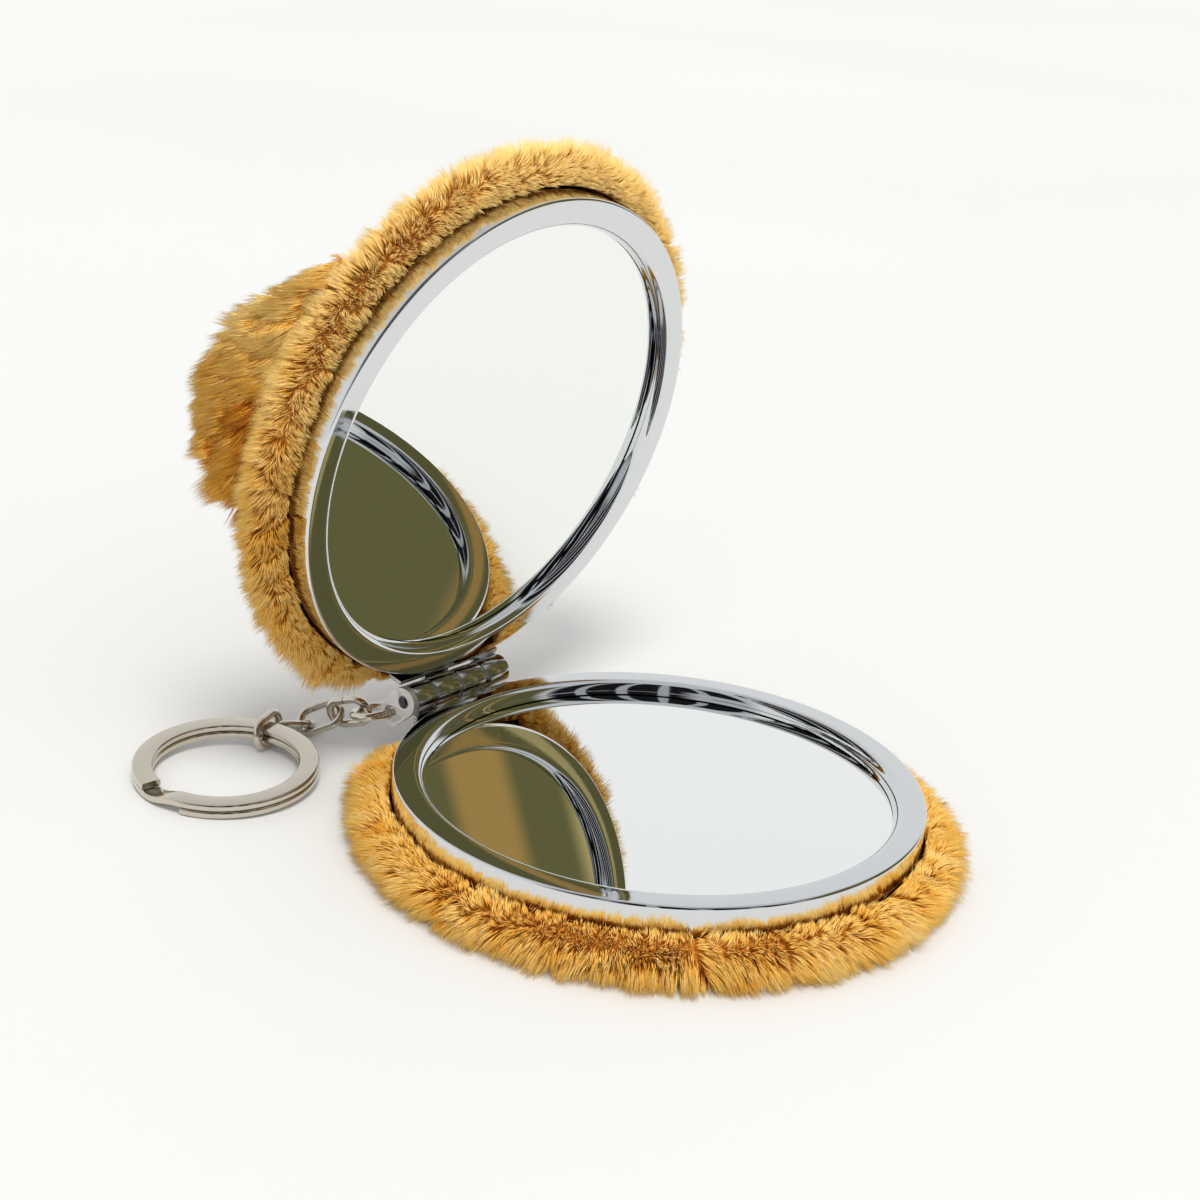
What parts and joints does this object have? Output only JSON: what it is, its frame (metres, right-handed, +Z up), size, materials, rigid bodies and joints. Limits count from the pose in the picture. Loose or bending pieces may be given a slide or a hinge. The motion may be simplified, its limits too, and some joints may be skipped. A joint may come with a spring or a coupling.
{
  "type": "compact mirror",
  "caption": "Round folding compact mirror with plush covers, two stuffed ears on the lid, a barrel hinge, and a short chain with a flat split key ring.",
  "frame": {"origin": "centre of the base's underside, on the table", "axes": "+Z up, X along the hinge axis, +Y towards the hinge, -Y towards the user"},
  "size_m": [0.0839, 0.1021, 0.0866],
  "materials": {
    "chrome": "bright polished chrome plate",
    "mirror_glass": "silvered float glass",
    "adhesive": "double-sided foam adhesive",
    "steel": "plain pressed steel",
    "foam": "open-cell foam padding",
    "plush": "short golden-tan faux fur, pile about 3 to 4 mm",
    "stuffing": "polyester fibre filling",
    "magnet": "nickel-plated magnet",
    "nickel": "bright nickel-plated steel wire"
  },
  "bodies": {
    "base": {"base_rim": "chrome", "base_mirror": "mirror_glass", "base_mirror_tape": "adhesive", "base_back_pan": "steel", "base_foam_pad": "foam", "base_plush_cover": "plush", "base_magnet": "magnet", "base_hinge_leaf": "chrome", "hinge_pin": "steel"},
    "lid": {"lid_rim": "chrome", "lid_mirror": "mirror_glass", "lid_mirror_tape": "adhesive", "lid_back_pan": "steel", "lid_foam_pad": "foam", "lid_plush_cover": "plush", "lid_magnet": "magnet", "lid_hinge_leaf": "chrome", "ear_left": "plush", "ear_left_stuffing": "stuffing", "ear_right": "plush", "ear_right_stuffing": "stuffing"},
    "lug_ring": {"lug_ring": "nickel"},
    "chain_link_1": {"chain_link_1": "nickel"},
    "chain_link_2": {"chain_link_2": "nickel"},
    "chain_link_3": {"chain_link_3": "nickel"},
    "chain_link_4": {"chain_link_4": "nickel"},
    "key_ring": {"key_ring": "nickel"}
  },
  "joints": [
    {"name": "lid_hinge", "type": "hinge", "parent": "base", "child": "lid", "pos_m": [0, 0.038, 0.0092], "axis": [-1, 0, 0], "range_deg": [-78, 25]},
    {"name": "lug_ring_swing", "type": "hinge", "parent": "base", "child": "lug_ring", "pos_m": [-0.00929, 0.0404, 0.0068], "axis": [1, 0, 0], "range_deg": [-30, 8]},
    {"name": "chain_link_1_swing", "type": "hinge", "parent": "lug_ring", "child": "chain_link_1", "pos_m": [-0.01013, 0.04638, 0.00518], "axis": [0.9313, 0.3171, 0.1793], "range_deg": [-20, 8]},
    {"name": "chain_link_2_swing", "type": "hinge", "parent": "chain_link_1", "child": "chain_link_2", "pos_m": [-0.0113, 0.05074, 0.00354], "axis": [0.6831, 0.1526, -0.7142], "range_deg": [-5, 25]},
    {"name": "chain_link_3_swing", "type": "hinge", "parent": "chain_link_2", "child": "chain_link_3", "pos_m": [-0.01415, 0.05402, 0.00151], "axis": [-0.2561, -0.3536, -0.8996], "range_deg": [-6, 25]},
    {"name": "chain_link_4_swing", "type": "hinge", "parent": "chain_link_3", "child": "chain_link_4", "pos_m": [-0.01879, 0.05442, 0.00267], "axis": [0.353, -0.9298, 0.1045], "range_deg": [-15, 20]},
    {"name": "key_ring_swing", "type": "hinge", "parent": "chain_link_4", "child": "key_ring", "pos_m": [-0.02327, 0.05271, 0.00251], "axis": [0.0699, -0.0851, -0.9939], "range_deg": [-8, 20]}
  ]
}
